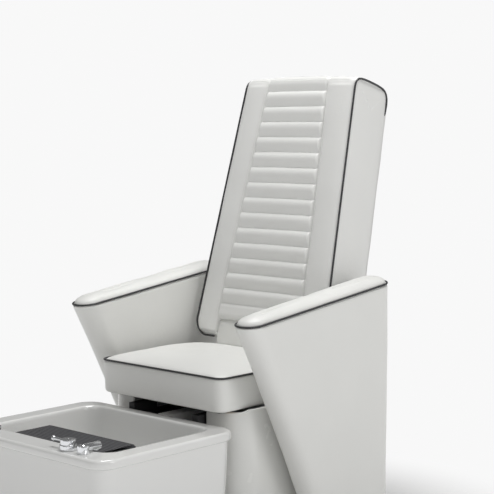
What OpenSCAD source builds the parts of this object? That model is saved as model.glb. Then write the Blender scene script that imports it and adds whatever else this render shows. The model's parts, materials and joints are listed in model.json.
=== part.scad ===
// Pedicure spa chair: an upholstered reclining seat on a slide, between two fixed arms,
// over a white base with a foot bath in front. +X is the sitter's left, -Y is the front.

/* [Seat] */
// Height of the seat's piped top edge above the floor
seat_top = 560; // [520:5:620]
// Width of the seat
seat_w = 540; // [500:5:545]
// Depth of the seat cushion
seat_d = 438; // [400:2:440]
// Height of the upholstered seat box
seat_t = 104; // [100:1:106]
// Height of the crown of the seat above its piped edge
seat_crown = 24; // [10:1:26]

/* [Back] */
// Length of the back along its slope
back_len = 904; // [700:4:950]
// Width of the back at its top
back_w_top = 472; // [400:4:540]
// Width of the back at its bottom
back_w_low = 568; // [540:4:576]
// Thickness of the back
back_t = 182; // [176:1:200]
// Lean of the back from upright, at rest, in degrees
recline = 14.5; // [10:0.5:18]

/* [Arms] */
// Distance from the middle plane to an arm's inner face
arm_in = 309; // [309:1:330]
// Thickness of an arm at its front end
arm_t_front = 103; // [80:1:112]
// Thickness of an arm at its rear end
arm_t_rear = 119; // [112:1:130]
// Height of an arm's piped edge above the seat's, at the front
arm_rise_front = 165; // [140:5:190]
// Height of an arm's piped edge above the seat's, at the rear
arm_rise_rear = 249; // [190:1:260]
// Slope of an arm's front edge from upright, in degrees
arm_lean = 26.5; // [15:0.5:28]

/* [Foot bath] */
// Width over the rim
tub_w = 656; // [620:2:680]
// Length over the rim
tub_l = 536; // [500:4:560]
// Height of the rim above the floor
rim_z = 418; // [414:1:422]
// Depth of the bath below its rim
tub_depth = 228; // [200:1:240]
// Length of the deck in front of the bath, which carries the mixer
deck_l = 80; // [76:1:90]

/* [Base] */
// Width of the base
base_w = 580; // [570:2:584]
// Height of the base's side panels
base_top = 450; // [440:1:450]

/* [Hidden] */

$fn = 48;
EPS = 0.3;            // clearance between soft or unfitted neighbours
RUN = 0.06;           // radial clearance of a running fit
PIPE = 7;             // diameter of the piping welts

VINYL = "whitesmoke";
WELT = "dimgray";
GEL = "white";
BLACK = "#26262a";
ZINC = "silver";

// Back: its foot, its hinge and the piece's reach, measured from the seat's front edge
back_y = 450;
back_z = 30;
hinge_ly = 88;        // hinge axis in the back's own frame
hinge_lz = -60;
back_r = 35;          // rounding of the back seen from the side
foot_r = 60;          // rounding of its bottom corners seen from the front
hinge_y = back_y + hinge_ly * cos(recline) + hinge_lz * sin(recline);
hinge_z = seat_top + back_z - hinge_ly * sin(recline) + hinge_lz * cos(recline);
rear_reach = back_y + (back_len - back_r) * sin(recline) + (back_t - back_r) * cos(recline) + back_r;
tub_gap = -16;        // from the rim's rear edge to the seat's front edge
ys = (tub_gap + tub_l - rear_reach) / 2;

seat_bottom = seat_top - seat_t;
seat_r = 35;
frame_z = 452;        // underside of the seat frame
board_t = 9;          // plywood let into the cushion's underside
ear_bottom = 434;
rail_x = 140;
rail_w = 24;
rail_bottom = 396;
rail_top = 433;
plate_z = 20;         // base plate
plate_t = 4;
panel_bottom = 30;
panel_t = 10;
base_l = 600;
base_front = 50;
base_corner = 90;
base_gap = 162;       // half of the way in between the two front returns
base_side_top = 457;  // where a side panel stands beside the seat, not under it

arm_y_front = -16;
arm_y_rear = 640;
arm_bottom = 40;
arm_pad_t = 20;
arm_step = 0.4;

tub_front = -tub_gap - tub_l;
tub_y = -tub_gap - tub_l / 2;
side_rim = 66;
rear_rim = 47;
basin_w = tub_w - 2 * side_rim;
basin_l = tub_l - deck_l - rear_rim;
basin_y = -tub_gap - rear_rim - basin_l / 2;
basin_floor = rim_z - tub_depth;
wall = 5;
drain_y = -230;
pipe_x = 60;          // waste pipe
pipe_z = 90;
jet_x = 130;
jet_z = 250;
jet_y = basin_y + basin_l / 2;
foot_axis_y = tub_front + deck_l + 10;
foot_axis_z = 389;
foot_w = 380;
foot_l = 158;

lever_l = 95;
lever_tilt = 16;      // half of the back's travel, so the lever swings evenly about plumb
lever_x = 75;
lever_y = hinge_y + lever_l * sin(lever_tilt);
lever_z = hinge_z - lever_l * cos(lever_tilt);

mixer_x = 150;
knob_x = -180;
deck_y = tub_front + deck_l / 2;
keypad_y = [100, 140];
keypad_z = 676;
rear_face = base_l - 6;
feet_x = 235;
feet_y = [-430, 60, 550];
screw_x = 262;        // rear service panel's screws
screw_z = [60, 370];
supply_x = [-110, -50];
supply_z = 120;

module at_seat() translate([0, ys, 0]) children();
module in_back() translate([0, ys + back_y, seat_top + back_z]) rotate([-recline, 0, 0]) children();
module box(x, y, z) translate([x[0], y[0], z[0]]) cube([x[1] - x[0], y[1] - y[0], z[1] - z[0]]);
module along_x(r, x) translate([x[0], 0, 0]) rotate([0, 90, 0]) cylinder(r = r, h = x[1] - x[0]);
module along_y(r, y) translate([0, y[0], 0]) rotate([-90, 0, 0]) cylinder(r = r, h = y[1] - y[0]);

// Rectangle with round corners, made of plain circles and squares so that it stays exact
module round_rect(w, l, r) {
    square([w - 2 * r, l], center = true);
    square([w, l - 2 * r], center = true);
    for (sx = [-1, 1], sy = [-1, 1])
        translate([sx * (w / 2 - r), sy * (l / 2 - r)]) circle(r);
}

module round_slab(w, l, r, z0, z1) translate([0, 0, z0]) linear_extrude(z1 - z0) round_rect(w, l, r);

// ---------- base ----------
module base_plate() color(BLACK) at_seat()
    box([-270, 270], [-470, 590], [plate_z, plate_z + plate_t]);

module leveling_feet() color("#333333") at_seat()
    for (x = [-feet_x, feet_x], y = feet_y) translate([x, y, 0]) {
        cylinder(r = 24, h = 8);
        translate([0, 0, 8]) cylinder(r = 6, h = plate_z - 8);
    }

module rail_beam(side) color("lightgray") at_seat() {
    low = plate_z + plate_t;
    flange = 3;
    for (z = [low, rail_bottom - flange])
        box([side * rail_x - 20, side * rail_x + 20], [60, 560], [z, z + flange]);
    box([side * rail_x - 1.5, side * rail_x + 1.5], [60, 560], [low + flange, rail_bottom - flange]);
}
module rail_beam_left() rail_beam(1);
module rail_beam_right() rail_beam(-1);

module slide_rail(side) color(BLACK) at_seat()
    box([side * rail_x - rail_w / 2, side * rail_x + rail_w / 2], [22, 560], [rail_bottom, rail_top]);
module slide_rail_left() slide_rail(1);
module slide_rail_right() slide_rail(-1);

// A side panel turns in at the front round a generous corner and stops short of the middle
module base_side_outline(side, inner) intersection() {
    translate([0, base_front + base_l / 2]) difference() {
        round_rect(base_w, base_l, base_corner);
        round_rect(base_w - 2 * panel_t, base_l - 2 * panel_t, base_corner - panel_t);
    }
    translate([side > 0 ? inner : -base_w / 2, base_front - 5])
        square([base_w / 2 - inner, base_corner + 15]);
}

module base_side_panel(side) color(GEL) at_seat() {
    straight_y = base_front + base_corner + 10;
    edge = side > 0 ? base_w / 2 - panel_t : -base_w / 2;
    translate([0, 0, panel_bottom]) linear_extrude(base_top - panel_bottom)
        base_side_outline(side, base_gap);
    translate([0, 0, base_top - 1]) linear_extrude(base_side_top - base_top + 1)
        base_side_outline(side, seat_w / 2 + 3);
    translate([edge, straight_y - 1, panel_bottom])
        cube([panel_t, rear_face - 7 - straight_y, base_side_top - panel_bottom]);
}
module base_side_panel_left() base_side_panel(1);
module base_side_panel_right() base_side_panel(-1);

module base_rear_panel() color(GEL) at_seat() difference() {
    box([-286, 286], [rear_face - 6, rear_face], [panel_bottom, 398]);
    for (x = [-screw_x, screw_x], z = screw_z)
        translate([x, 0, z]) along_y(3.2, [rear_face - 8, rear_face + 2]);
    box([-214, -186], [rear_face - 8, rear_face + 2], [96, 144]);
    for (x = supply_x) translate([x, 0, supply_z]) along_y(11, [rear_face - 8, rear_face + 2]);
    translate([pipe_x, 0, pipe_z]) along_y(16.5, [rear_face - 8, rear_face + 2]);
    for (z = [200 : 20 : 300]) box([-60, 60], [rear_face - 8, rear_face + 2], [z, z + 6]);
}

module rear_panel_screws() color(ZINC) at_seat()
    for (x = [-screw_x, screw_x], z = screw_z) translate([x, 0, z]) {
        along_y(3, [rear_face - 16, rear_face]);
        along_y(6, [rear_face, rear_face + 3]);
    }

module control_box() color("#3c3f44") at_seat()
    box([-264, -168], [300, 460], [plate_z + plate_t, 96]);

module power_inlet() color(BLACK) at_seat() difference() {
    union() {
        box([-213.5, -186.5], [rear_face - 26, rear_face], [96.5, 143.5]);
        box([-219, -181], [rear_face, rear_face + 3], [90, 150]);
    }
    box([-211, -189], [rear_face - 16, rear_face + 4], [102, 138]);
}

module slide_actuator_tube() color("gainsboro") at_seat() difference() {
    union() {
        box([-22, 22], [24, 350], [375, 415]);
        box([-30, 30], [60, 120], [plate_z + plate_t, 375]);
    }
    translate([0, 0, 395]) along_y(9 + RUN, [100, 360]);
}

// ---------- foot bath ----------
module tub_basin() color(GEL) at_seat() difference() {
    union() {
        translate([0, tub_y]) round_slab(tub_w, tub_l, 60, rim_z - 10, rim_z);
        translate([0, basin_y])
            round_slab(basin_w + 2 * wall, basin_l + 2 * wall, 55, basin_floor - wall, rim_z - 5);
    }
    translate([0, basin_y]) round_slab(basin_w, basin_l, 50, basin_floor, rim_z + 1);
    translate([0, drain_y, 0]) cylinder(r = 22, h = rim_z);
    translate([mixer_x, deck_y, 0]) cylinder(r = 12, h = rim_z + 1);
    translate([knob_x, deck_y, 0]) cylinder(r = 6, h = rim_z + 1);
}

module tub_skirt() color(GEL) at_seat() difference() {
    translate([0, tub_y]) round_slab(tub_w - 18, tub_l - 18, 52, panel_bottom, rim_z - 10);
    translate([0, tub_y]) round_slab(tub_w - 28, tub_l - 28, 47, panel_bottom - 1, rim_z);
    translate([pipe_x, 0, pipe_z]) along_y(18, [-60, 20]);
}

module drain_fitting() color("silver") at_seat() translate([0, drain_y]) {
    difference() {
        union() {
            translate([0, 0, basin_floor]) cylinder(r = 32, h = 3);
            translate([0, 0, 140]) cylinder(r = 21.5, h = basin_floor - 140);
        }
        translate([0, 0, 130]) cylinder(r = 18, h = 100);
    }
    difference() {
        union() {
            box([-18.5, 18.5], [-2.5, 2.5], [150, 158]);
            box([-2.5, 2.5], [-18.5, 18.5], [150, 158]);
            translate([0, 0, 150]) cylinder(r = 8, h = 8);
        }
        translate([0, 0, 140]) cylinder(r = 4 + RUN, h = 30);
    }
}

// Waste pipe: down from the drain, round an elbow and back to its outlet behind the base
module drain_pipe() color("gray") at_seat() difference() {
    union() {
        translate([0, drain_y, pipe_z]) cylinder(r = 25, h = 50);
        translate([0, drain_y, pipe_z]) sphere(15);
        translate([0, drain_y, pipe_z]) along_x(15, [0, pipe_x]);
        translate([pipe_x, drain_y, pipe_z]) sphere(15);
        translate([pipe_x, 0, pipe_z]) along_y(15, [drain_y, rear_face + 10]);
        translate([pipe_x, 0, pipe_z]) along_y(22, [rear_face, rear_face + 5]);
        translate([pipe_x, 0, pipe_z]) along_y(16, [rear_face + 2, rear_face + 36]);
    }
    translate([0, drain_y, pipe_z + 5]) cylinder(r = 21, h = 60);
    translate([pipe_x, 0, pipe_z]) along_y(12, [drain_y, rear_face + 40]);
}

module jet_cover(x) translate([x, jet_y, jet_z]) difference() {
    along_y(36, [-20, 0]);
    along_y(33, [-17, 1]);
    for (a = [0 : 30 : 330]) rotate([0, a, 0]) translate([22, 0, 0]) along_y(4, [-22, -10]);
}
module jet_covers() color(ZINC) at_seat() for (x = [-jet_x, jet_x]) jet_cover(x);

module impeller(x) color(BLACK) at_seat() translate([x, jet_y, jet_z]) {
    along_y(8, [-14, -0.5]);
    for (a = [0 : 60 : 300]) rotate([0, a, 0]) box([6, 28], [-12, -4], [-1.5, 1.5]);
}
module impeller_left() impeller(jet_x);
module impeller_right() impeller(-jet_x);

module supply_inlets() color("#c8a248") at_seat()
    for (x = supply_x) translate([x, 0, supply_z]) difference() {
        union() {
            along_y(10.5, [rear_face - 30, rear_face + 28]);
            along_y(16, [rear_face, rear_face + 5]);
        }
        along_y(7, [rear_face - 31, rear_face + 30]);
    }

module filler_spout() color(ZINC) at_seat() translate([mixer_x + 62, deck_y, rim_z]) difference() {
    union() {
        cylinder(r = 17, h = 22);
        translate([0, 0, 14]) along_y(11, [0, 58]);
        translate([0, 0, 14]) sphere(11);
        translate([0, 47, 2]) cylinder(r = 8, h = 12);
    }
    translate([0, 47, 0]) cylinder(r = 6, h = 8);
}

module mixer_body() color(ZINC) at_seat() translate([mixer_x, deck_y, 0]) {
    translate([0, 0, rim_z]) cylinder(r = 24, h = 16);
    translate([0, 0, rim_z - 60]) cylinder(r = 11.5, h = 60);
    translate([0, 0, rim_z + 16]) cylinder(r = 5, h = 14);
}

module mixer_lever() color(ZINC) at_seat() translate([mixer_x, deck_y, rim_z + 16 + EPS]) difference() {
    union() {
        cylinder(r = 22, h = 14 - EPS);
        translate([0, 0, 7]) along_x(4.5, [-62, 0]);
        translate([-62, 0, 7]) sphere(6.5);
    }
    translate([0, 0, -1]) cylinder(r = 5 + RUN, h = 20);
}

module drain_knob() color(ZINC) at_seat() translate([knob_x, deck_y, 0]) {
    translate([0, 0, rim_z + EPS]) cylinder(r = 20, h = 16);
    translate([0, 0, rim_z - 40]) cylinder(r = 5.5, h = 41);
    translate([0, 0, rim_z + 16]) rotate([0, 0, 20]) box([-4, 4], [-19, 19], [0, 8]);
}

module drain_plug() color("silver") at_seat() translate([0, drain_y, 0]) {
    translate([0, 0, basin_floor + 3 + EPS]) cylinder(r = 21, h = 5);
    translate([0, 0, 142]) cylinder(r = 4, h = basin_floor + 4 - 142);
}

// ---------- foot rest ----------
module footrest_bracket() color(ZINC) at_seat()
    for (s = [-1, 1]) difference() {
        union() {
            translate([0, foot_axis_y, foot_axis_z]) along_x(9, s > 0 ? [100, 122] : [-122, -100]);
            box(s > 0 ? [100, 122] : [-122, -100], [foot_axis_y - 10, foot_axis_y],
                [foot_axis_z - 25, foot_axis_z + 9]);
            box(s > 0 ? [100, 122] : [-122, -100], [foot_axis_y - 10, foot_axis_y + 60],
                [foot_axis_z - 25, foot_axis_z - 12]);
        }
        translate([0, foot_axis_y, foot_axis_z]) along_x(5, [-130, 130]);
    }

module footrest_pin() color(ZINC) at_seat() translate([0, foot_axis_y, foot_axis_z])
    along_x(5, [-126, 126]);

module footrest_plate() color(ZINC) at_seat() difference() {
    union() {
        box([-foot_w / 2, foot_w / 2], [foot_axis_y + 14, foot_axis_y + 14 + foot_l],
            [foot_axis_z - 4, foot_axis_z + 2]);
        box([-98, 98], [foot_axis_y, foot_axis_y + 16], [foot_axis_z - 4, foot_axis_z + 2]);
        translate([0, foot_axis_y, foot_axis_z]) along_x(9, [-98, 98]);
    }
    translate([0, foot_axis_y, foot_axis_z]) along_x(5 + RUN, [-110, 110]);
}

module footrest_pad() color("#4a4a4e") at_seat()
    translate([0, foot_axis_y + 14 + foot_l / 2]) round_slab(foot_w - 6, foot_l - 6, 12,
                                                             foot_axis_z + 2, foot_axis_z + 13);

// ---------- arms ----------
module arm_disc(side, rear, inset, z, h) {
    r = (rear ? arm_t_rear : arm_t_front) / 2;
    y = rear ? arm_y_rear - r : arm_y_front + r;
    translate([side * (arm_in + r), y, z]) cylinder(r = r - inset, h = h, $fn = 40);
}

// Capsule on the arm's sloping top plane
module arm_top(side, inset, lift, h) hull() {
    arm_disc(side, false, inset, seat_top + arm_rise_front + lift, h);
    arm_disc(side, true, inset, seat_top + arm_rise_rear + lift, h);
}

// Where a nose axis that starts at y is, at height z
function nose_axis_y(y, z) = y + (seat_top + arm_rise_front - z) * tan(arm_lean);

// An arm is a slab with a leaning round nose and an upright round rear end, cut off under the pad
module arm_panel(side) color(VINYL) at_seat() {
    r = (arm_t_front + arm_t_rear) / 4;
    x = side * (arm_in + r);
    nose_y = arm_y_front + r / cos(arm_lean);
    high = seat_top + arm_rise_rear + 60;
    top_front = seat_top + arm_rise_front - PIPE / 2 - EPS;
    top_rear = seat_top + arm_rise_rear - PIPE / 2 - EPS;
    intersection() {
        union() {
            translate([x, nose_y, seat_top + arm_rise_front]) rotate([arm_lean, 0, 0])
                cylinder(r = r, h = 1900, center = true);
            translate([x, arm_y_rear - r, 0]) cylinder(r = r, h = high);
            translate([x - r + arm_step, 0, 0]) rotate([90, 0, 90]) linear_extrude(2 * (r - arm_step))
                polygon([[nose_axis_y(nose_y, high), high], [arm_y_rear - r, high],
                         [arm_y_rear - r, 0], [nose_axis_y(nose_y, 0), 0]]);
        }
        translate([side > 0 ? 0 : -600, 0, 0]) rotate([90, 0, 90]) linear_extrude(600) polygon([
            [-300, top_front], [arm_y_front + arm_t_front, top_front], [arm_y_rear, top_rear],
            [900, top_rear], [900, arm_bottom], [-300, arm_bottom]]);
    }
}
module arm_panel_left() arm_panel(1);
module arm_panel_right() arm_panel(-1);

module arm_pad(side) color(VINYL) at_seat() hull() {
    arm_top(side, PIPE + EPS, -PIPE / 2, PIPE + 1);
    arm_top(side, 30, arm_pad_t - 2, 1);
}
module arm_pad_left() arm_pad(1);
module arm_pad_right() arm_pad(-1);

module arm_piping(side) color(WELT) at_seat() difference() {
    arm_top(side, 0, -PIPE / 2, PIPE);
    arm_top(side, PIPE, -10, 30);
}
module arm_piping_left() arm_piping(1);
module arm_piping_right() arm_piping(-1);

module arm_spacers() color(BLACK) at_seat()
    for (s = [-1, 1], p = [[330, 380], [530, 380], [400, 150], [530, 150]])
        translate([0, p[0], p[1]]) along_x(20, s > 0 ? [base_w / 2, arm_in] : [-arm_in, -base_w / 2]);

module keypad_housing() color(BLACK) at_seat() difference() {
    box([arm_in - 12, arm_in], [keypad_y[0] - 24, keypad_y[1] + 24], [keypad_z - 28, keypad_z + 28]);
    for (y = keypad_y) box([arm_in - 13, arm_in - 4], [y - 15, y + 15], [keypad_z - 20, keypad_z + 20]);
}

module rocker_key(y) color("gray") at_seat() translate([arm_in - 12, y, keypad_z])
    box([-2.5, 4.5], [-14.4, 14.4], [-19.4, 19.4]);
module slide_key() rocker_key(keypad_y[0]);
module recline_key() rocker_key(keypad_y[1]);

// ---------- seat ----------
module seat_board() color("#303033") at_seat() translate([0, seat_d / 2])
    round_slab(seat_w - 30, seat_d - 30, 20, seat_bottom, seat_bottom + board_t);

module seat_frame() color(BLACK) at_seat() box([-240, 240], [24, 480], [frame_z, seat_bottom]);

module slide_runner(side) color(ZINC) at_seat() difference() {
    box([side * rail_x - 17, side * rail_x + 17], [120, 460], [408, frame_z]);
    box([side * rail_x - rail_w / 2 - 0.5, side * rail_x + rail_w / 2 + 0.5], [119, 461],
        [407, rail_top + 0.5]);
}
module slide_runner_left() slide_runner(1);
module slide_runner_right() slide_runner(-1);

module seat_cushion() color(VINYL) at_seat() translate([0, seat_d / 2]) {
    difference() {
        round_slab(seat_w, seat_d, seat_r, seat_bottom, seat_top - PIPE / 2 - EPS);
        round_slab(seat_w - 30 + 2 * EPS, seat_d - 30 + 2 * EPS, 20 + EPS, seat_bottom - 1,
                   seat_bottom + board_t + EPS);
    }
    translate([0, 0, seat_top - PIPE / 2 - EPS]) hull() {
        round_slab(seat_w - 2 * PIPE - 1, seat_d - 2 * PIPE - 1, seat_r - PIPE, 0, PIPE, $fn = 32);
        round_slab(seat_w - 90, seat_d - 90, 60, 0, seat_crown * 0.7, $fn = 32);
        round_slab(seat_w - 240, seat_d - 220, 60, 0, seat_crown, $fn = 32);
    }
}

module seat_piping() color(WELT) at_seat() translate([0, seat_d / 2]) difference() {
    round_slab(seat_w, seat_d, seat_r, seat_top - PIPE / 2, seat_top + PIPE / 2);
    round_slab(seat_w - 2 * PIPE, seat_d - 2 * PIPE, seat_r - PIPE, seat_top - PIPE, seat_top + PIPE);
}

module hinge_ears() color(ZINC) at_seat() for (s = [-1, 1]) difference() {
    union() {
        box(s > 0 ? [240, 248] : [-248, -240], [380, hinge_y + 30], [ear_bottom, seat_bottom - 0.5]);
        box(s > 0 ? [240, 248] : [-248, -240], [hinge_y - 30, hinge_y + 30], [ear_bottom, hinge_z]);
        translate([0, hinge_y, hinge_z]) along_x(30, s > 0 ? [240, 248] : [-248, -240]);
    }
    translate([0, hinge_y, hinge_z]) along_x(8 + RUN, [-260, 260]);
}

module slide_actuator_rod() color(ZINC) at_seat() {
    translate([0, 0, 395]) along_y(9, [250, 462]);
    box([-25, 25], [462, 472], [380, frame_z]);
}

module recline_actuator() color("#3c3f44") at_seat() translate([lever_x, 0, lever_z]) difference() {
    union() {
        along_y(19, [200, 466]);
        box([-12, 12], [210, 250], [0, frame_z - lever_z]);
        box([-12, 12], [420, 460], [0, frame_z - lever_z]);
    }
    along_y(8 + RUN, [220, 480]);
}

module recline_rod() color(ZINC) at_seat() translate([lever_x, 0, lever_z]) {
    along_y(8, [300, lever_y - 24]);
    difference() {
        box([-13, 13], [lever_y - 24, lever_y + 14], [-16, 10]);
        box([-5, 5], [lever_y - 16, lever_y + 15], [-17, 11]);
        box([-14, 14], [lever_y - 6.6, lever_y + 6.6], [-10, 11]);
    }
}

// ---------- back, in its own upright frame ----------
module back_front_outline(inset) hull() {
    low = back_w_low / 2 - inset - foot_r;
    top = back_w_top / 2 - inset - 12;
    for (s = [-1, 1]) {
        translate([s * low, foot_r]) circle(foot_r, $fn = 32);
        translate([s * top, back_len - 12]) circle(12, $fn = 24);
    }
}

module back_side_outline(inset) hull() {
    r = back_r - inset;
    for (y = [back_r, back_t - back_r], z = [back_r, back_len - back_r])
        translate([y, z]) circle(r, $fn = 32);
}

module back_slice(y0, y1, inset) intersection() {
    translate([0, y1, 0]) rotate([90, 0, 0]) linear_extrude(y1 - y0) back_front_outline(inset);
    translate([-300, 0, 0]) rotate([90, 0, 90]) linear_extrude(600) back_side_outline(0);
}

module back_cushion() color(VINYL) in_back() back_slice(0, 139.7, PIPE + EPS);
module back_rear_cover() color(VINYL) in_back() back_slice(158.3, back_t, PIPE + EPS);

module back_board() color("burlywood") in_back() {
    translate([0, 158, 0]) rotate([90, 0, 0]) linear_extrude(18) polygon([
        [-230, -80], [230, -80], [230, 60], [back_w_top / 2 - 24, back_len - 20],
        [-back_w_top / 2 + 24, back_len - 20], [-230, 60]]);
}

module lumbar_flap() color(VINYL) in_back() box([-185, 185], [6, 60], [-34, -EPS]);

// A welt round each side panel of the back, laid on the taper of the side
module back_piping(side) color(WELT) in_back() {
    taper = atan((back_w_low - back_w_top) / 2 / (back_len - foot_r - 12));
    translate([side * (back_w_low / 2 - PIPE / 2), 0, foot_r]) rotate([0, -side * taper, 0])
        translate([-PIPE / 2, 0, -foot_r]) rotate([90, 0, 90]) linear_extrude(PIPE) difference() {
            back_side_outline(0);
            back_side_outline(PIPE);
        }
}
module back_piping_left() back_piping(1);
module back_piping_right() back_piping(-1);

module back_hinge_arms() color(ZINC) in_back() for (s = [-1, 1]) difference() {
    union() {
        box(s > 0 ? [230, 238] : [-238, -230], [hinge_ly, 158], [-80, -40]);
        translate([0, hinge_ly, hinge_lz]) along_x(20, s > 0 ? [230, 238] : [-238, -230]);
    }
    translate([0, hinge_ly, hinge_lz]) along_x(8, [-250, 250]);
}

module hinge_pins() color(ZINC) in_back() for (s = [-1, 1]) translate([0, hinge_ly, hinge_lz]) {
    along_x(8, s > 0 ? [230, 248.5] : [-248.5, -230]);
    along_x(13, s > 0 ? [248.5, 253] : [-253, -248.5]);
}

// Plate on the back's board, with an arm that hangs from the hinge axis to the actuator's pin
module recline_lever() color(ZINC) {
    in_back() box([lever_x - 4, lever_x + 4], [hinge_ly - 12, 140], [hinge_lz - 12, hinge_lz + 14]);
    at_seat() translate([lever_x, hinge_y, hinge_z]) rotate([lever_tilt, 0, 0]) {
        box([-4, 4], [-12, 12], [-lever_l, 0]);
        translate([0, 0, -lever_l]) along_x(12, [-4, 4]);
        translate([0, 0, -lever_l]) along_x(6, [-12, 12]);
    }
}

base_plate();
leveling_feet();
rail_beam_left();
rail_beam_right();
slide_rail_left();
slide_rail_right();
base_side_panel_left();
base_side_panel_right();
base_rear_panel();
rear_panel_screws();
control_box();
power_inlet();
slide_actuator_tube();
tub_basin();
tub_skirt();
drain_fitting();
drain_pipe();
jet_covers();
supply_inlets();
filler_spout();
mixer_body();
footrest_bracket();
footrest_pin();
arm_panel_left();
arm_panel_right();
arm_pad_left();
arm_pad_right();
arm_piping_left();
arm_piping_right();
arm_spacers();
keypad_housing();
seat_board();
seat_frame();
slide_runner_left();
slide_runner_right();
seat_cushion();
seat_piping();
hinge_ears();
slide_actuator_rod();
recline_actuator();
back_board();
back_cushion();
lumbar_flap();
back_piping_left();
back_piping_right();
back_rear_cover();
back_hinge_arms();
hinge_pins();
recline_lever();
recline_rod();
footrest_plate();
footrest_pad();
drain_knob();
drain_plug();
mixer_lever();
impeller_left();
impeller_right();
slide_key();
recline_key();
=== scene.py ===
"""Looks of the pedicure spa chair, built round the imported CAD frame. Lengths are in metres."""
import json
import math

import bmesh
import bpy
import numpy as np
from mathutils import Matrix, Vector


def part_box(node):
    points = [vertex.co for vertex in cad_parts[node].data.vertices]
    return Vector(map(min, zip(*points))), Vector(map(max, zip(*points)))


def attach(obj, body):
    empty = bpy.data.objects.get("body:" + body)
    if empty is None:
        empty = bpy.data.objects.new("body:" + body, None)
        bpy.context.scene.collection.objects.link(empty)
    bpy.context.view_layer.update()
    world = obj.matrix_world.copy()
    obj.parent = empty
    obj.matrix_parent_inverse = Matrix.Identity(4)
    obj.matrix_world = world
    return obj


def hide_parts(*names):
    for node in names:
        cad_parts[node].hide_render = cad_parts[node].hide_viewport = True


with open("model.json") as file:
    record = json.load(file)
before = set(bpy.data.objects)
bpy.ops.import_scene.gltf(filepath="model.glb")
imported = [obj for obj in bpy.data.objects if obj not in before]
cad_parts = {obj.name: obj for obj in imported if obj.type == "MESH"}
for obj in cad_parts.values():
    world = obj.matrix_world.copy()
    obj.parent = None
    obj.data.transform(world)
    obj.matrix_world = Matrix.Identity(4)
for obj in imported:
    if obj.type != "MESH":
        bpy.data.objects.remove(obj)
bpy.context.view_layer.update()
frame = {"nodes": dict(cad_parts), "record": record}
NODES = frame["nodes"]
SLOT_OF = {s["node"]: s["material_slot"] for s in frame["record"]["subparts"]}

# ---------- dimensions read from the frame ----------
WELT_R = 0.0033
seat_lo, seat_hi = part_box("seat_piping")
cushion_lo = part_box("seat_cushion")[0]
SEAT_TOP = (seat_lo.z + seat_hi.z) / 2
SEAT_FRONT = seat_lo.y
SEAT_HALF = seat_hi.x
SEAT_MID_Y = (seat_lo.y + seat_hi.y) / 2
SEAT_HALF_D = (seat_hi.y - seat_lo.y) / 2

BACK_LEAN = math.radians(14.5)
BACK_FOOT = np.array([0.0, SEAT_FRONT + 0.450, SEAT_TOP + 0.030])
BACK_UP = np.array([0.0, math.sin(BACK_LEAN), math.cos(BACK_LEAN)])
BACK_REAR = np.array([0.0, math.cos(BACK_LEAN), -math.sin(BACK_LEAN)])
BACK_LEN = 0.904
BACK_T = 0.182
BACK_LOW = 0.284
BACK_TOP = 0.236
FOOT_R = 0.060
FRONT_R = 0.026
PANEL_LOW = 0.183
PANEL_TOP = 0.129
RIB_LOW = 0.116
RIB_PITCH = 0.0526
RIBS = 14
FOLD_S = 0.058

arm_lo, arm_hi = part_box("arm_piping_left")
ARM_IN = arm_lo.x
ARM_T_FRONT = 0.103
ARM_T_REAR = arm_hi.x - arm_lo.x
ARM_Y0 = arm_lo.y
ARM_Y1 = arm_hi.y
ARM_Z0 = arm_lo.z + WELT_R
ARM_Z1 = arm_hi.z - WELT_R
ARM_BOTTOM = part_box("arm_panel_left")[0].z
ARM_LEAN = math.radians(26.5)
ARM_CROWN = 0.020

tub_lo, tub_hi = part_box("tub_basin")
skirt_lo, skirt_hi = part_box("tub_skirt")


# ---------- mesh helpers ----------
def new_piece(name, verts, faces, material, smooth=True):
    mesh = bpy.data.meshes.new(name)
    mesh.from_pydata([tuple(v) for v in verts], [], faces)
    obj = bpy.data.objects.new(name, mesh)
    bpy.context.scene.collection.objects.link(obj)
    work = bmesh.new()
    work.from_mesh(mesh)
    bmesh.ops.recalc_face_normals(work, faces=work.faces)
    work.to_mesh(mesh)
    work.free()
    mesh.polygons.foreach_set("use_smooth", [smooth] * len(mesh.polygons))
    mesh.materials.append(material)
    return obj


def loft_faces(count, size, start=0, wrap=True):
    """Quads between count rings of size points."""
    faces = []
    last = size if wrap else size - 1
    for i in range(count - 1):
        a = start + i * size
        b = a + size
        for j in range(last):
            k = (j + 1) % size
            faces.append((a + j, a + k, b + k, b + j))
    return faces


def loft(name, rings, material, capped=True, ring_closed=False):
    """Closed skin through equal rings. Capped ends get a middle point, or the last ring meets the first."""
    rings = np.asarray(rings, float)
    count, size = rings.shape[:2]
    verts = list(rings.reshape(-1, 3))
    faces = loft_faces(count, size)
    if ring_closed:
        base = (count - 1) * size
        faces += [(base + j, base + (j + 1) % size, (j + 1) % size, j) for j in range(size)]
    elif capped:
        for first, ring in ((0, rings[0]), ((count - 1) * size, rings[-1])):
            verts.append(ring.mean(0))
            middle = len(verts) - 1
            faces += [(first + j, first + (j + 1) % size, middle) for j in range(size)]
    return new_piece(name, verts, faces, material)


def rect_ring(half_x, half_y, radius, nx=24, ny=24, arc=8):
    """Round-cornered rectangle as points, the same number for every size."""
    radius = min(radius, 0.96 * half_x, 0.96 * half_y)
    cx, cy = half_x - radius, half_y - radius
    out = []
    sides = [((half_x, -cy), (half_x, cy), ny, (cx, cy), 0), ((cx, half_y), (-cx, half_y), nx, (-cx, cy), 90),
             ((-half_x, cy), (-half_x, -cy), ny, (-cx, -cy), 180),
             ((-cx, -half_y), (cx, -half_y), nx, (cx, -cy), 270)]
    for a, b, n, centre, angle in sides:
        for i in range(n):
            f = i / n
            out.append((a[0] + (b[0] - a[0]) * f, a[1] + (b[1] - a[1]) * f))
        for i in range(arc):
            w = math.radians(angle + 90 * i / arc)
            out.append((centre[0] + radius * math.cos(w), centre[1] + radius * math.sin(w)))
    return np.array(out)


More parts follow.
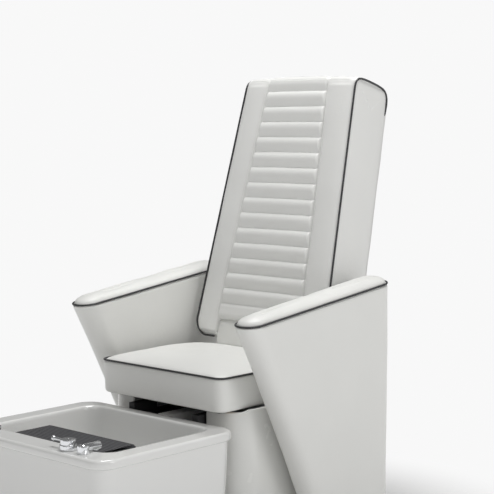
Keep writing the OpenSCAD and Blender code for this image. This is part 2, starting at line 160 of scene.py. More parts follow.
def at_height(points, z):
    return np.column_stack([points, np.full(len(points), z)])


def tube_rings(path, radius, closed=True, sides=12):
    path = np.asarray(path, float)
    ahead = np.roll(path, -1, 0) - np.roll(path, 1, 0)
    if not closed:
        ahead[0] = path[1] - path[0]
        ahead[-1] = path[-1] - path[-2]
    ahead /= np.linalg.norm(ahead, axis=1)[:, None]
    side = np.cross(ahead[0], [0.3, 0.5, 0.81])
    rings = []
    for p, t in zip(path, ahead):
        side = side - t * np.dot(side, t)
        side /= np.linalg.norm(side)
        other = np.cross(t, side)
        w = np.linspace(0, 2 * math.pi, sides, endpoint=False)[:, None]
        rings.append(p + radius * (np.cos(w) * side + np.sin(w) * other))
    return rings


def closed_tube(name, path, radius, material, sides=12):
    """Ring-shaped tube. The last ring is joined to the first by the nearest turn."""
    rings = tube_rings(path, radius, True, sides)
    first, last = rings[0], rings[-1]
    turn = min(range(sides), key=lambda k: np.linalg.norm(np.roll(first, -k, 0) - last))
    verts = list(np.array(rings).reshape(-1, 3))
    faces = loft_faces(len(rings), sides)
    base = (len(rings) - 1) * sides
    faces += [(base + j, base + (j + 1) % sides, (j + 1 + turn) % sides, (j + turn) % sides)
              for j in range(sides)]
    return new_piece(name, verts, faces, material)


def open_tube(name, path, radius, material, sides=12):
    rings = tube_rings(path, radius, False, sides)
    for end in (0, -1):
        mid = rings[end].mean(0)
        rings[end] = mid + (rings[end] - mid) * 0.6
    return loft(name, rings, material)


def ripple(points, length, amount, seed):
    """Smooth seeded unevenness for points: a sum of slow waves in random directions."""
    local = np.random.default_rng(seed)
    total = np.zeros(len(points))
    for _ in range(10):
        k = local.normal(size=3)
        k *= 2 * math.pi / length * local.uniform(0.6, 1.4) / np.linalg.norm(k)
        total += np.sin(points @ k + local.uniform(0, 2 * math.pi))
    return total * amount / 10 ** 0.5


def read_points(obj):
    co = np.zeros(len(obj.data.vertices) * 3)
    obj.data.vertices.foreach_get("co", co)
    return co.reshape(-1, 3)


def write_points(obj, co):
    obj.data.vertices.foreach_set("co", np.asarray(co, float).ravel())
    obj.data.update()


def read_normals(obj):
    out = np.zeros(len(obj.data.vertices) * 3)
    obj.data.vertices.foreach_get("normal", out)
    return out.reshape(-1, 3)


def inflate(obj, held, cap, pressure=4.0, frames=20):
    """Blows a closed skin up as pressurised cloth with the held points fixed, and caps how far it moves."""
    start = read_points(obj)
    group = obj.vertex_groups.new(name="held")
    group.add([int(i) for i in held], 1.0, "REPLACE")
    cloth = obj.modifiers.new("cloth", "CLOTH")
    cloth.settings.quality = 5
    cloth.settings.mass = 0.3
    cloth.settings.tension_stiffness = 20
    cloth.settings.compression_stiffness = 20
    cloth.settings.bending_stiffness = 2
    cloth.settings.use_pressure = True
    cloth.settings.uniform_pressure_force = pressure
    cloth.settings.vertex_group_mass = "held"
    cloth.settings.effector_weights.gravity = 0
    cloth.point_cache.frame_start = 1
    cloth.point_cache.frame_end = frames
    for f in range(1, frames + 1):
        bpy.context.scene.frame_set(f)
    shaped = obj.evaluated_get(bpy.context.evaluated_depsgraph_get()).to_mesh()
    moved = np.zeros(len(shaped.vertices) * 3)
    shaped.vertices.foreach_get("co", moved)
    obj.modifiers.remove(cloth)
    bpy.context.scene.frame_set(1)
    move = moved.reshape(-1, 3) - start
    size = np.linalg.norm(move, axis=1, keepdims=True) + 1e-9
    write_points(obj, start + move / size * cap * (1 - np.exp(-size / cap)))


def subdivide(obj, levels=1):
    mod = obj.modifiers.new("subdivision", "SUBSURF")
    mod.levels = levels
    mod.render_levels = levels


# ---------- materials ----------
def node(tree, kind, **values):
    made = tree.nodes.new(kind)
    for key, value in values.items():
        if key in made.inputs:
            made.inputs[key].default_value = value
        else:
            setattr(made, key, value)
    return made


def finish_material(name, colour, rough, metallic=0.0, tint=0.03, tint_scale=4.0, rough_vary=0.06,
                    rough_scale=30.0,
                    grain=(), coat=0.0, coat_rough=0.1, sheen=0.0, ior=1.5, stretch=(1, 1, 1), wear=0.0):
    """Principled surface: slow colour drift, uneven gloss, layers of grain as (texture, scale, distance)."""
    mat = bpy.data.materials.new(name)
    mat.use_nodes = True
    tree = mat.node_tree
    bsdf = next(n for n in tree.nodes if n.type == "BSDF_PRINCIPLED")
    bsdf.inputs["Metallic"].default_value = metallic
    bsdf.inputs["IOR"].default_value = ior
    bsdf.inputs["Coat Weight"].default_value = coat
    bsdf.inputs["Coat Roughness"].default_value = coat_rough
    bsdf.inputs["Sheen Weight"].default_value = sheen
    link = tree.links.new
    coords = node(tree, "ShaderNodeTexCoord")
    place = node(tree, "ShaderNodeMapping")
    place.inputs["Scale"].default_value = stretch
    link(coords.outputs["Object"], place.inputs["Vector"])

    drift = node(tree, "ShaderNodeTexNoise", Scale=tint_scale, Detail=4.0)
    link(place.outputs["Vector"], drift.inputs["Vector"])
    ramp = node(tree, "ShaderNodeValToRGB")
    ramp.color_ramp.elements[0].position = 0.3
    ramp.color_ramp.elements[1].position = 0.7
    ramp.color_ramp.elements[0].color = [max(c * (1 - tint), 0) for c in colour] + [1]
    ramp.color_ramp.elements[1].color = [min(c * (1 + tint), 1) for c in colour] + [1]
    link(drift.outputs["Fac"], ramp.inputs["Fac"])
    paint = ramp.outputs["Color"]
    if wear:
        edge = node(tree, "ShaderNodeNewGeometry")
        near = node(tree, "ShaderNodeMapRange")
        near.inputs["From Min"].default_value = 0.53
        near.inputs["From Max"].default_value = 0.60
        near.inputs["To Max"].default_value = wear
        link(edge.outputs["Pointiness"], near.inputs["Value"])
        mix = node(tree, "ShaderNodeMix", data_type="RGBA")
        mix.inputs["B"].default_value = [min(c * 1.5 + 0.05, 1) for c in colour] + [1]
        for socket in mix.inputs:
            if socket.type == "RGBA" and socket.name == "B":
                socket.default_value = [min(c * 1.5 + 0.05, 1) for c in colour] + [1]
        link(near.outputs["Result"], mix.inputs["Factor"])
        link(paint, next(s for s in mix.inputs if s.type == "RGBA" and s.name == "A"))
        paint = next(s for s in mix.outputs if s.type == "RGBA")
    link(paint, bsdf.inputs["Base Color"])

    gloss = node(tree, "ShaderNodeTexNoise", Scale=rough_scale, Detail=3.0)
    link(place.outputs["Vector"], gloss.inputs["Vector"])
    span = node(tree, "ShaderNodeMapRange")
    span.inputs["From Min"].default_value = 0.3
    span.inputs["From Max"].default_value = 0.7
    span.inputs["To Min"].default_value = max(rough - rough_vary, 0.02)
    span.inputs["To Max"].default_value = rough + rough_vary
    link(gloss.outputs["Fac"], span.inputs["Value"])
    link(span.outputs["Result"], bsdf.inputs["Roughness"])

    previous = None
    for kind, scale, distance in grain:
        if kind == "cells":
            tex = node(tree, "ShaderNodeTexVoronoi", Scale=scale)
            tex.feature = "SMOOTH_F1"
            out = tex.outputs["Distance"]
        elif kind == "lines":
            tex = node(tree, "ShaderNodeTexWave", Scale=scale, Distortion=1.5, Detail=2.0)
            out = tex.outputs["Fac"]
        else:
            tex = node(tree, "ShaderNodeTexNoise", Scale=scale, Detail=5.0)
            out = tex.outputs["Fac"]
        link(place.outputs["Vector"], tex.inputs["Vector"])
        bump = node(tree, "ShaderNodeBump", Strength=0.5, Distance=distance)
        link(out, bump.inputs["Height"])
        if previous:
            link(previous.outputs["Normal"], bump.inputs["Normal"])
        previous = bump
    if previous:
        link(previous.outputs["Normal"], bsdf.inputs["Normal"])
    return mat


VINYL_GRAIN = (("cells", 850, 0.00022), ("noise", 160, 0.0005), ("noise", 22, 0.0012))
VINYL = finish_material("white_vinyl", (0.80, 0.80, 0.775), 0.42, tint=0.012, tint_scale=5, rough_vary=0.05,
                        grain=VINYL_GRAIN, coat=0.06, coat_rough=0.35)
RIB_VINYL = finish_material("ribbed_vinyl", (0.80, 0.80, 0.78), 0.42, tint=0.012, tint_scale=5,
                            rough_vary=0.05, grain=VINYL_GRAIN, coat=0.06, coat_rough=0.35)
WELT = finish_material("charcoal_welt", (0.035, 0.035, 0.038), 0.4, tint=0.15, tint_scale=40, rough_vary=0.06,
                       grain=(("cells", 900, 0.0003), ("noise", 200, 0.0004)))
THREAD = finish_material("white_thread", (0.72, 0.72, 0.70), 0.7, tint=0.05, tint_scale=400, sheen=0.2,
                         grain=(("lines", 900, 0.0002),))
GELCOAT = finish_material("white_gelcoat", (0.80, 0.80, 0.785), 0.16, tint=0.008,
                          rough_vary=0.03, rough_scale=14,
                          grain=(("noise", 60, 0.00025), ("noise", 9, 0.0008)), coat=0.5, coat_rough=0.06)
# Gelcoat of the base panels: rougher and less coated than the bath's. Its colour is darker and more olive
# than the bath's white as painted shade, standing in for the shadow the arms cast on the panel sides.
SHADE_TINTED_BASE_COAT = finish_material("base_gelcoat", (0.77, 0.77, 0.745), 0.24, tint=0.01,
                            rough_vary=0.04, rough_scale=14,
                            grain=(("noise", 70, 0.0003), ("noise", 10, 0.001)), coat=0.3, coat_rough=0.12)
METALS = {
    "black_steel": dict(colour=(0.02, 0.02, 0.022), rough=0.45, grain=(("noise", 500, 0.0003),), wear=0.4),
    "white_paint": dict(colour=(0.80, 0.80, 0.78), rough=0.42, grain=(("noise", 450, 0.0003),), wear=0.4),
    "zinc_steel": dict(colour=(0.55, 0.56, 0.58), rough=0.35, metallic=1.0, tint=0.08, tint_scale=60,
                       grain=(("cells", 220, 0.0002),)),
    "extruded_aluminium": dict(colour=(0.80, 0.81, 0.82), rough=0.30, metallic=1.0, stretch=(1, 0.02, 1),
                               grain=(("noise", 900, 0.0002),)),
    "chrome": dict(colour=(0.78, 0.79, 0.81), rough=0.08, metallic=1.0, tint=0.02, rough_vary=0.03,
                   grain=(("noise", 40, 0.0002),)),
    "brass": dict(colour=(0.66, 0.50, 0.24), rough=0.3, metallic=1.0, tint=0.08, tint_scale=50,
                  grain=(("noise", 500, 0.0002),)),
    "black_plastic": dict(colour=(0.018, 0.018, 0.02), rough=0.5, grain=(("cells", 1400, 0.0002),), wear=0.2),
    "grey_plastic": dict(colour=(0.22, 0.23, 0.24), rough=0.48, grain=(("cells", 1400, 0.0002),), wear=0.2),
    "grey_pvc": dict(colour=(0.30, 0.31, 0.33), rough=0.35, grain=(("noise", 120, 0.0003),)),
    "black_rubber": dict(colour=(0.02, 0.02, 0.02), rough=0.75, grain=(("noise", 700, 0.0005),)),
    "footrest_rubber": dict(colour=(0.075, 0.075, 0.08), rough=0.55, grain=(("cells", 900, 0.0004),)),
    "plywood": dict(colour=(0.50, 0.35, 0.20), rough=0.6, tint=0.25, tint_scale=8, stretch=(1, 12, 1),
                    grain=(("noise", 90, 0.0006),)),
}
MATERIALS = {"white_vinyl": VINYL, "ribbed_vinyl": RIB_VINYL, "charcoal_welt": WELT, "white_gelcoat": GELCOAT,
             "base_gelcoat": SHADE_TINTED_BASE_COAT}
for slot_name, settings in METALS.items():
    MATERIALS[slot_name] = finish_material(slot_name, **settings)

for node_name, obj in NODES.items():
    obj.data.materials.clear()
    obj.data.materials.append(MATERIALS[SLOT_OF[node_name]])


def refine(node_name, body, width, segments=3):
    """A copy of a CAD node with its edges rounded, shown in the node's place."""
    source = NODES[node_name]
    mesh = source.data.copy()
    obj = bpy.data.objects.new(node_name + "_finished", mesh)
    bpy.context.scene.collection.objects.link(obj)
    work = bmesh.new()
    work.from_mesh(mesh)
    bmesh.ops.remove_doubles(work, verts=work.verts, dist=1e-6)
    bmesh.ops.dissolve_limit(work, angle_limit=math.radians(2), verts=work.verts, edges=work.edges)
    work.to_mesh(mesh)
    work.free()
    bevel = obj.modifiers.new("bevel", "BEVEL")
    bevel.width = width
    bevel.segments = segments
    bevel.limit_method = "ANGLE"
    bevel.angle_limit = math.radians(40)
    bevel.harden_normals = True
    mesh.polygons.foreach_set("use_smooth", [True] * len(mesh.polygons))
    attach(obj, body)
    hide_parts(node_name)
    return obj


# ---------- seat ----------
def seat_ring(inset, z, corner=0.035):
    ring = rect_ring(SEAT_HALF - inset, SEAT_HALF_D - inset, max(corner - inset * 0.5, 0.006), 40, 34, 8)
    ring[:, 1] += SEAT_MID_Y
    return at_height(ring, z)


def make_seat():
    low = cushion_lo.z
    crown = 0.026
    rings = [seat_ring(0.06, low + 0.0095), seat_ring(0.0148, low + 0.0095), seat_ring(0.0146, low + 0.004),
             seat_ring(0.0135, low + 0.0006), seat_ring(0.0105, low), seat_ring(0.007, low + 0.003),
             seat_ring(0.0045, low + 0.010)]
    for f in np.linspace(0.22, 0.93, 9):
        rings.append(seat_ring(0.004 * (1 - f) + 0.0015, low + (SEAT_TOP - low) * f))
    rings.append(seat_ring(0.004, SEAT_TOP - 0.0045))
    rings.append(seat_ring(0.0085, SEAT_TOP - 0.001))
    rings.append(seat_ring(0.0115, SEAT_TOP + 0.0030))
    for inset in (0.018, 0.028, 0.040, 0.055, 0.072, 0.090, 0.110, 0.130, 0.150, 0.170, 0.188, 0.203):
        ring = seat_ring(inset, SEAT_TOP, 0.035 + inset * 0.9)
        u = np.clip(np.abs(ring[:, 0]) / (SEAT_HALF - 0.0115), 0, 1)
        v = np.clip(np.abs(ring[:, 1] - SEAT_MID_Y) / (SEAT_HALF_D - 0.0115), 0, 1)
        ring[:, 2] += 0.0035 + crown * ((1 - u ** 2.8) * (1 - v ** 2.8)) ** 0.6
        rings.append(ring)
    obj = loft("seat_upholstery", rings, VINYL)
    size = len(rings[0])
    held = list(range(0, 7 * size)) + list(range(16 * size, 19 * size)) + [len(obj.data.vertices) - 2]
    inflate(obj, held, 0.006)
    co = read_points(obj)
    top = co[:, 2] > SEAT_TOP + 0.006
    co[top, 2] += ripple(co[top], 0.16, 0.0007, 3)
    write_points(obj, co)
    subdivide(obj)
    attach(obj, "seat")
    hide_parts("seat_cushion")

    path = seat_ring(WELT_R, SEAT_TOP)
    welt = closed_tube("seat_welt", path, WELT_R, WELT)
    subdivide(welt)
    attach(welt, "seat")
    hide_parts("seat_piping")


# ---------- arms ----------
def arm_ring(side, inset, drop=0.0, lift=0.0, arc=22, straight=44):
    """Capsule-shaped ring of an arm. drop runs from 0 at the pad's seam to 1 at the arm's foot."""
    nose = ARM_T_FRONT / 2 - inset
    tail = ARM_T_REAR / 2 - inset
    step = (ARM_Z0 - ARM_BOTTOM) * drop * math.tan(ARM_LEAN)
    y0 = ARM_Y0 + ARM_T_FRONT / 2 + step
    y1 = ARM_Y1 - ARM_T_REAR / 2
    x0 = ARM_IN + ARM_T_FRONT / 2
    x1 = ARM_IN + ARM_T_REAR / 2
    points = []
    for i in range(arc):
        w = math.pi + math.pi * i / arc
        points.append((x0 + nose * math.cos(w), y0 + nose * math.sin(w)))
    for i in range(straight):
        f = i / straight
        points.append((x0 + nose + (x1 + tail - x0 - nose) * f, y0 + (y1 - y0) * f))
    for i in range(arc):
        w = math.pi * i / arc
        points.append((x1 + tail * math.cos(w), y1 + tail * math.sin(w)))
    for i in range(straight):
        f = 1 - i / straight
        points.append((x0 - nose + (x1 - tail - x0 + nose) * f, y0 + (y1 - y0) * f))
    ring = np.array(points)
    high = ARM_Z0 + (ARM_Z1 - ARM_Z0) * (ring[:, 1] - ARM_Y0) / (ARM_Y1 - ARM_Y0)
    z = high * (1 - drop) + ARM_BOTTOM * drop + lift
    ring[:, 0] *= side
    return np.column_stack([ring, z])


def make_arm(side, label):
    rings = [arm_ring(side, 0.030, 0.0, -0.006), arm_ring(side, 0.008, 0.0, -0.0055),
             arm_ring(side, 0.0035, 0.0, -0.005)]
    drops = [0.012, 0.03, 0.06] + list(np.linspace(0.10, 0.96, 26)) + [0.985]
    for d in drops:
        rings.append(arm_ring(side, 0.0012, d))
    rings.append(arm_ring(side, 0.004, 0.996))
    rings.append(arm_ring(side, 0.012, 1.0))
    rings.append(arm_ring(side, 0.034, 1.0))
    shell = loft("arm_upholstery_" + label, rings, VINYL)
    co = read_points(shell)
    out = read_normals(shell)
    co += out * ripple(co, 0.22, 0.0007, 11)[:, None]
    write_points(shell, co)
    subdivide(shell)
    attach(shell, "base")
    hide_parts("arm_panel_" + label)

    rings = [arm_ring(side, 0.030, 0.0, -0.004), arm_ring(side, 0.010, 0.0, -0.003),
             arm_ring(side, 0.0075, 0.0, 0.0015), arm_ring(side, 0.0085, 0.0, 0.004)]
    for inset in (0.012, 0.016, 0.021, 0.027, 0.033, 0.039, 0.044):
        f = inset / 0.046
        rings.append(arm_ring(side, inset, 0.0, 0.003 + ARM_CROWN * math.sin(f * math.pi / 2) ** 0.9))
    pad = loft("arm_pad_cover_" + label, rings, VINYL)
    size = len(rings[0])
    inflate(pad, list(range(0, 4 * size)) + [len(pad.data.vertices) - 2], 0.004)
    co = read_points(pad)
    high = co[:, 2] > co[:, 2].min() + 0.004
    co[high, 2] += ripple(co[high], 0.10, 0.0005, 17)
    write_points(pad, co)
    subdivide(pad)
    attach(pad, "base")
    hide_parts("arm_pad_" + label)

    welt = closed_tube("arm_welt_" + label, arm_ring(side, WELT_R), WELT_R, WELT)
    subdivide(welt)
    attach(welt, "base")
    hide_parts("arm_piping_" + label)


# ---------- back ----------
def to_back(x, t, s):
    """Points from the back's own frame: across, through from front to rear, and up the slope."""
    x, t, s = np.broadcast_arrays(x, t, s)
    across = x[..., None] * np.array([1.0, 0, 0])
    return (BACK_FOOT + across + t[..., None] * BACK_REAR + s[..., None] * BACK_UP)


def half_width(s):
    """Half of the back's width at height s, drawn in round its bottom corners."""
    s = np.asarray(s, float)
    edge = BACK_LOW + (BACK_TOP - BACK_LOW) * np.clip(s / BACK_LEN, 0, 1)
    dip = np.clip(FOOT_R - s, 0, FOOT_R)
    return edge - (FOOT_R - np.sqrt(np.maximum(FOOT_R ** 2 - dip ** 2, 0)))


def panel_half(s):
    return PANEL_LOW + (PANEL_TOP - PANEL_LOW) * (np.asarray(s, float) - FOLD_S) / (0.853 - FOLD_S)


def side_outline():
    """The back seen from the side: points (t, s), outward normals, and which lie on the front."""
    front_r, rear_r, low_r = FRONT_R, 0.038, 0.020
    heights = list(np.linspace(low_r, FOLD_S - 0.012, 7))
    heights += list(np.linspace(FOLD_S - 0.009, FOLD_S + 0.012, 14))
    heights += list(np.linspace(FOLD_S + 0.016, RIB_LOW - 0.006, 9))
    for rib in range(RIBS):
        low = RIB_LOW + rib * RIB_PITCH
        heights += [low + RIB_PITCH * (0.5 - 0.5 * math.cos(math.pi * k / 22)) for k in range(22)]
    top_seam = RIB_LOW + RIBS * RIB_PITCH
    heights += [top_seam] + list(np.linspace(top_seam + 0.003, BACK_LEN - front_r, 9))
    points = [(0.0, s) for s in heights]
    normals = [(-1.0, 0.0)] * len(heights)
    on_front = len(heights)

    def turn(centre, radius, start, steps):
        for i in range(1, steps + 1):
            w = math.radians(start - 90 * i / steps)
            points.append((centre[0] + radius * math.cos(w), centre[1] + radius * math.sin(w)))
            normals.append((math.cos(w), math.sin(w)))

    def run(a, b, steps, normal):
        for i in range(1, steps):
            f = i / steps
            points.append((a[0] + (b[0] - a[0]) * f, a[1] + (b[1] - a[1]) * f))
            normals.append(normal)

    turn((front_r, BACK_LEN - front_r), front_r, 180, 10)
    run((front_r, BACK_LEN), (BACK_T - rear_r, BACK_LEN), 14, (0.0, 1.0))
    turn((BACK_T - rear_r, BACK_LEN - rear_r), rear_r, 90, 12)
    run((BACK_T, BACK_LEN - rear_r), (BACK_T, low_r), 90, (1.0, 0.0))
    turn((BACK_T - low_r, low_r), low_r, 0, 6)
    run((BACK_T - low_r, 0), (low_r, 0), 14, (0.0, -1.0))
    turn((low_r, low_r), low_r, 270, 6)
    points.pop()
    normals.pop()
    return np.array(points), np.array(normals), on_front


def smooth_step(a, b, value):
    f = np.clip((value - a) / (b - a), 0, 1)
    return f * f * (3 - 2 * f)


def front_height(x, s):
    """How far the padded front stands out at (x, s)."""
    u = np.abs(x)
    p = panel_half(s)
    e = half_width(s)
    across = np.clip(u / e, 0, 1)
    crown = 0.010 * (1 - across ** 2)
    rim = -0.004 * np.exp(-(e - u) / 0.004)
    # bolsters
    tau = np.clip((u - p) / np.maximum(e - p, 1e-4), 0, 1)
    bolster = 0.009 * np.clip(1 - (2 * tau - 1) ** 2, 0, 1) ** 0.7
    # ribs
    r = (s - RIB_LOW) / RIB_PITCH
    inside = (r >= 0) & (r <= RIBS)
    part = np.where(inside, r - np.floor(np.clip(r, 0, RIBS - 1e-9)), 0)
    lean = part ** 1.5
    pillow = 0.0105 * np.clip(1 - np.abs(2 * lean - 1) ** 2.0, 0, 1) ** 0.7
    ends = np.clip((p - u) / 0.007, 0, 1) ** 0.45
    pucker = 0.00035 * np.sin(u * 900 + np.floor(r) * 1.7) * np.exp(-np.minimum(part, 1 - part) / 0.12)
    ribs = (pillow + pucker) * ends
    # plain parts of the panel under and over the ribs
    over = np.clip((s - RIB_LOW - RIBS * RIB_PITCH) / 0.030, 0, 1)
    under = np.clip((RIB_LOW - s) / 0.010, 0, 1)
    plain = np.where(r > RIBS, 0.006 * np.sin(over * math.pi / 2), 0.007 * np.sin(under * math.pi / 2)) * ends
    panel = np.where(inside, ribs, plain)
    # the panel ends in a rounded fold over the flap
    fold = smooth_step(FOLD_S - 0.004, FOLD_S + 0.020, s)
    recess = -0.020 * (1 - fold)
    panel = panel * fold + recess
    top_join = smooth_step(0.868, 0.888, s)
    seam = np.exp(-((u - p) / 0.0018) ** 2) * (1 - top_join)
    side = np.where(u < p, panel, bolster * (1 - 0.7 * top_join))
    return crown + side - 0.004 * seam * fold + rim


def make_back():
    outline, normals, on_front = side_outline()
    t, s = outline.T
    inner = np.array([0, 0.06, 0.13, 0.2, 0.28, 0.36, 0.44, 0.52, 0.6, 0.68, 0.75, 0.81,
                      0.86, 0.90, 0.93, 0.95, 0.965, 0.978, 0.989, 1.0])
    outer = np.array([0.02, 0.045, 0.08, 0.13, 0.2, 0.29, 0.39, 0.5, 0.61, 0.71, 0.8, 0.87,
                      0.92, 0.955, 0.98, 1.0])
    columns = [(-1, f, True) for f in outer[::-1]] + [(-1, f, False) for f in inner[:0:-1]]
    columns += [(1, f, False) for f in inner] + [(1, f, True) for f in outer]
    p = panel_half(s)
    e = half_width(s)
    front = np.arange(len(s)) < on_front
    back_face = normals[:, 0] > 0.5
    rings = []
    for side, f, bolster in columns:
        x = side * (p + (e - p) * f if bolster else p * f)
        height = np.where(front, front_height(x, s), 0.004 * (1 - (x / e) ** 2))
        height = np.where(back_face, 0.006 * (1 - (x / e) ** 2), height)
        # the front's fullness runs out round the top edge
        nose = (~front) & (normals[:, 0] < 0) & (s > BACK_LEN / 2)
        blend = np.clip(-normals[:, 0], 0, 1)
        top_edge = front_height(x, np.full_like(s, BACK_LEN - FRONT_R))
        height = np.where(nose, blend * top_edge + (1 - blend) * height, height)
        rings.append(to_back(x, t + normals[:, 0] * height, s + normals[:, 1] * height))

    def side_rings(side):
        made = []
        mid_t = BACK_T / 2
        for inset, bulge in ((0.004, -0.001), (0.010, 0.002), (0.020, 0.0045), (0.034, 0.006), (0.05, 0.007),
                             (0.07, 0.0072), (0.088, 0.0072)):
            tt = mid_t + (t - mid_t) * (1 - inset / mid_t)
            ss = np.clip(s, inset, BACK_LEN - inset)
            made.append(to_back(side * (half_width(ss) + bulge - 0.002), tt, ss))
        return made

    rings = side_rings(-1)[::-1] + rings + side_rings(1)
    obj = loft("back_upholstery", rings, RIB_VINYL)
    co = read_points(obj)
    size = len(outline)
    shift = read_normals(obj) * ripple(co, 0.15, 0.0006, 5)[:, None]
    side_count = (len(rings) - len(columns)) // 2
    shift[:side_count * size] = 0
    shift[(side_count + len(columns)) * size:] = 0
    write_points(obj, co + shift)
    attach(obj, "back")
    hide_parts("back_cushion", "back_rear_cover")
    return outline


def make_back_welts(outline):
    """A welt runs up each front edge, over the top and down the rear, and turns in under the bolster."""
    t, s = outline.T
    around = [(tt, ss) for tt, ss in zip(t, s) if not (ss < FOOT_R + 0.004 and tt < BACK_T / 2)]
    around = [(tt, ss) for tt, ss in around if ss > 0.012]
    around = around[::3]
    for side, label in ((1, "left"), (-1, "right")):
        path = []
        turn_in = PANEL_LOW + 0.004
        for f in np.linspace(0, 1, 8):
            x = turn_in + (BACK_LOW - FOOT_R - turn_in) * f
            path.append(to_back(side * x, -0.001, 0.001))
        for w in np.linspace(0, 90, 18)[1:]:
            a = math.radians(w)
            x = BACK_LOW - FOOT_R + FOOT_R * math.sin(a)
            path.append(to_back(side * (x - 0.001), -0.001, FOOT_R - FOOT_R * math.cos(a)))
        for tt, ss in around:
            tuck = 0.015 * (1 - smooth_step(0.775, 0.835, ss)) if tt > BACK_T / 2 else 0.0
            path.append(to_back(side * (half_width(ss) + 0.0012 - tuck), tt + tuck * 0.08 - 0.0012, ss))
        path = smooth_path(np.array(path), 0.004)
        welt = open_tube("back_welt_" + label, path, WELT_R, WELT)
        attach(welt, "back")
        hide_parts("back_piping_" + label)


def smooth_path(path, step):
    """Evenly spaced points along a path, softened a little."""
    for _ in range(3):
        path[1:-1] = (path[:-2] + 2 * path[1:-1] + path[2:]) / 4
    gaps = np.linalg.norm(np.diff(path, axis=0), axis=1)
    along = np.concatenate([[0], np.cumsum(gaps)])
    want = np.linspace(0, along[-1], int(along[-1] / step))
    return np.column_stack([np.interp(want, along, path[:, i]) for i in range(3)])


def make_flap():
    """Padded flap that fills the gap between the ribbed panel and the seat."""
    half = PANEL_LOW - 0.001
    rings = []
    for x in np.concatenate([[-1, -0.995, -0.985, -0.965, -0.93], np.linspace(-0.88, 0.88, 33),
                             [0.93, 0.965, 0.985, 0.995, 1]]):
        edge = (1 - abs(x) ** 14) ** 0.5
        ring = rect_ring(0.010 + 0.014 * edge, 0.046 + 0.004 * edge, 0.009 + 0.012 * edge, 8, 22, 6)
        tt = ring[:, 0] + 0.020 - 0.003 * (1 - x * x)
        ss = ring[:, 1] + 0.014
        rings.append(to_back(x * half, tt, ss))
    obj = loft("back_flap", rings, VINYL)
    co = read_points(obj)
    co += read_normals(obj) * ripple(co, 0.07, 0.0009, 23)[:, None]
    write_points(obj, co)
    subdivide(obj)
    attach(obj, "back")
    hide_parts("lumbar_flap")


def stitches(name, lines, body, length=0.0036, pitch=0.0050, radius=0.0006):
    """Short thread dashes along each line of points, lifted just off the cover."""
    verts, faces = [], []
    for line in lines:
        line = np.asarray(line)
        gaps = np.linalg.norm(np.diff(line, axis=0), axis=1)
        along = np.concatenate([[0], np.cumsum(gaps)])
        for a in np.arange(pitch, along[-1] - length, pitch):
            ends = [np.array([np.interp(q, along, line[:, i]) for i in range(3)]) for q in (a, a + length)]
            rings = tube_rings(np.array([ends[0], (ends[0] + ends[1]) / 2, ends[1]]), radius, False, 5)
            base = len(verts)
            verts.extend(np.array(rings).reshape(-1, 3))
            faces.extend(loft_faces(3, 5, base))
            faces.append(tuple(base + i for i in range(5)))
            faces.append(tuple(base + 14 - i for i in range(5)))
    obj = new_piece(name, verts, faces, THREAD)
    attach(obj, body)


def make_back_stitches():
    lines = []
    s = np.linspace(0.075, 0.885, 400)
    for side in (-1, 1):
        for away in (0.004, 0.0105):
            x = side * (panel_half(s) + away)
            lines.append(to_back(x, -front_height(x, s) - 0.0001, s))
    x = np.linspace(-BACK_TOP + 0.012, BACK_TOP - 0.012, 120)
    height = 0.892
    lines.append(to_back(x, -front_height(x, np.full_like(x, height)) + 0.0001, height))
    stitches("back_stitching", lines, "back")


# ---------- foot bath ----------
def bath_ring(half_x, y0, y1, radius, z):
    ring = rect_ring(half_x, (y1 - y0) / 2, radius, 20, 20, 12)
    ring[:, 1] += (y0 + y1) / 2
    return at_height(ring, z)


